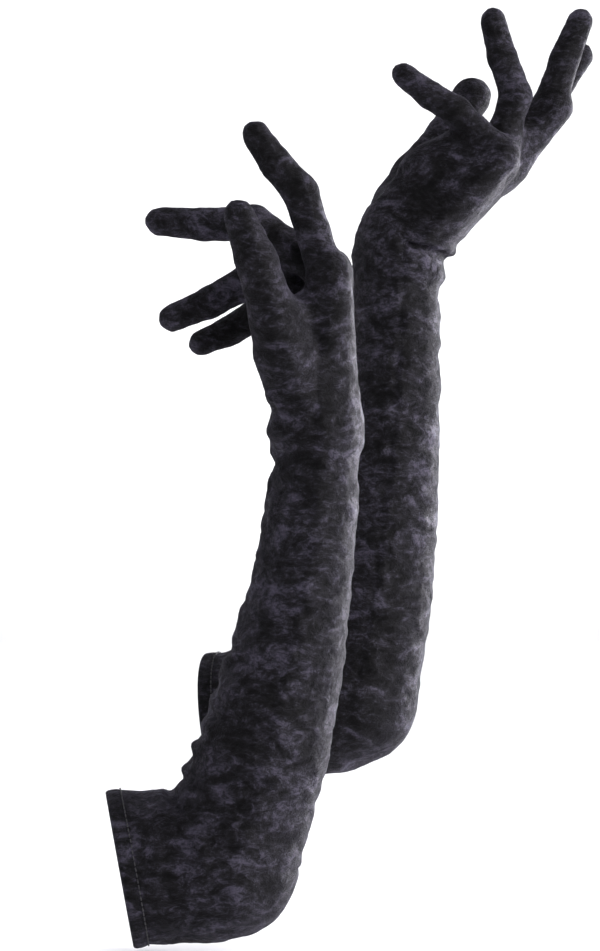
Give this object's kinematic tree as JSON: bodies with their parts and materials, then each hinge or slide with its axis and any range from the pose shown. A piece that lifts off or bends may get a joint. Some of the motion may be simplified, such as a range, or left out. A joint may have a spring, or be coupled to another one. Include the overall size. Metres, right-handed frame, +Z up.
{
  "type": "opera gloves",
  "caption": "Pair of long black velvet gloves worn to above the elbow, shaped on two raised bent arms, with open elastic cuffs.",
  "frame": {"origin": "centre of the right glove's cuff opening", "axes": "+X from the cuffs toward the elbows, +Y from the right glove to the left glove, +Z up toward the fingertips"},
  "size_m": [0.2715, 0.2929, 0.5129],
  "materials": {
    "velvet": "crushed velvet pile",
    "hem": "crushed velvet pile, turned and stitched",
    "elastic": "matte knitted tape",
    "thread": "matte sewing thread"
  },
  "bodies": {
    "right_upper": {"right_sleeve_palm_panel": "velvet", "right_sleeve_back_panel": "velvet", "right_sleeve_seams": "thread", "right_hem_band": "hem", "right_hem_elastic": "elastic", "right_hem_stitching": "thread"},
    "right_forearm": {"right_forearm_palm_panel": "velvet", "right_forearm_back_panel": "velvet", "right_forearm_seams": "thread"},
    "right_hand": {"right_hand_palm_panel": "velvet", "right_hand_back_panel": "velvet", "right_hand_seams": "thread", "right_index_root": "velvet", "right_middle_root": "velvet", "right_ring_root": "velvet", "right_little_root": "velvet", "right_thumb_root": "velvet"},
    "right_index": {"right_index_tip": "velvet"},
    "right_middle": {"right_middle_tip": "velvet"},
    "right_ring": {"right_ring_tip": "velvet"},
    "right_little": {"right_little_tip": "velvet"},
    "right_thumb": {"right_thumb_tip": "velvet"},
    "left_upper": {"left_sleeve_palm_panel": "velvet", "left_sleeve_back_panel": "velvet", "left_sleeve_seams": "thread", "left_hem_band": "hem", "left_hem_elastic": "elastic", "left_hem_stitching": "thread"},
    "left_forearm": {"left_forearm_palm_panel": "velvet", "left_forearm_back_panel": "velvet", "left_forearm_seams": "thread"},
    "left_hand": {"left_hand_palm_panel": "velvet", "left_hand_back_panel": "velvet", "left_hand_seams": "thread", "left_index_root": "velvet", "left_middle_root": "velvet", "left_ring_root": "velvet", "left_little_root": "velvet", "left_thumb_root": "velvet"},
    "left_index": {"left_index_tip": "velvet"},
    "left_middle": {"left_middle_tip": "velvet"},
    "left_ring": {"left_ring_tip": "velvet"},
    "left_little": {"left_little_tip": "velvet"},
    "left_thumb": {"left_thumb_tip": "velvet"}
  },
  "joints": [
    {"name": "right_elbow", "type": "hinge", "parent": "right_upper", "child": "right_forearm", "pos_m": [0.056, 0, 0], "axis": [0, -1, 0], "range_deg": [-60, 8]},
    {"name": "right_wrist", "type": "hinge", "parent": "right_forearm", "child": "right_hand", "pos_m": [0.102, 0, 0.228], "axis": [0, -1, 0], "range_deg": [-35, 35]},
    {"name": "right_index_bend", "type": "hinge", "parent": "right_hand", "child": "right_index", "pos_m": [0.09443, -0.0285, 0.34912], "axis": [0, -1, 0], "range_deg": [-20, 60]},
    {"name": "right_middle_bend", "type": "hinge", "parent": "right_hand", "child": "right_middle", "pos_m": [0.07052, -0.0095, 0.3346], "axis": [0, -1, 0], "range_deg": [-30, 50]},
    {"name": "right_ring_bend", "type": "hinge", "parent": "right_hand", "child": "right_ring", "pos_m": [0.0671, 0.0095, 0.30572], "axis": [0, -1, 0], "range_deg": [-30, 50]},
    {"name": "right_little_bend", "type": "hinge", "parent": "right_hand", "child": "right_little", "pos_m": [0.07124, 0.0285, 0.2891], "axis": [0, -1, 0], "range_deg": [-20, 60]},
    {"name": "right_thumb_bend", "type": "hinge", "parent": "right_hand", "child": "right_thumb", "pos_m": [0.072, -0.05, 0.313], "axis": [0, -1, 0], "range_deg": [-10, 50]},
    {"name": "pair_spacing", "type": "slide", "parent": "right_upper", "child": "left_upper", "axis": [0, 1, 0], "range_m": [0, 0.2]},
    {"name": "left_elbow", "type": "hinge", "parent": "left_upper", "child": "left_forearm", "pos_m": [0.124, 0.17, 0.076], "axis": [0, -1, 0], "range_deg": [-55, 10]},
    {"name": "left_wrist", "type": "hinge", "parent": "left_forearm", "child": "left_hand", "pos_m": [0.153, 0.17, 0.331], "axis": [0, -1, 0], "range_deg": [-5, 60]},
    {"name": "left_index_bend", "type": "hinge", "parent": "left_hand", "child": "left_index", "pos_m": [0.23533, 0.1985, 0.41545], "axis": [0, -1, 0], "range_deg": [-10, 65]},
    {"name": "left_middle_bend", "type": "hinge", "parent": "left_hand", "child": "left_middle", "pos_m": [0.23756, 0.1795, 0.41765], "axis": [0, -1, 0], "range_deg": [-24, 55]},
    {"name": "left_ring_bend", "type": "hinge", "parent": "left_hand", "child": "left_ring", "pos_m": [0.21634, 0.1605, 0.41965], "axis": [0, -1, 0], "range_deg": [-35, 50]},
    {"name": "left_little_bend", "type": "hinge", "parent": "left_hand", "child": "left_little", "pos_m": [0.18198, 0.1415, 0.40823], "axis": [0, -1, 0], "range_deg": [-5, 65]},
    {"name": "left_thumb_bend", "type": "hinge", "parent": "left_hand", "child": "left_thumb", "pos_m": [0.178, 0.22, 0.402], "axis": [0, -1, 0], "range_deg": [-10, 50]}
  ]
}
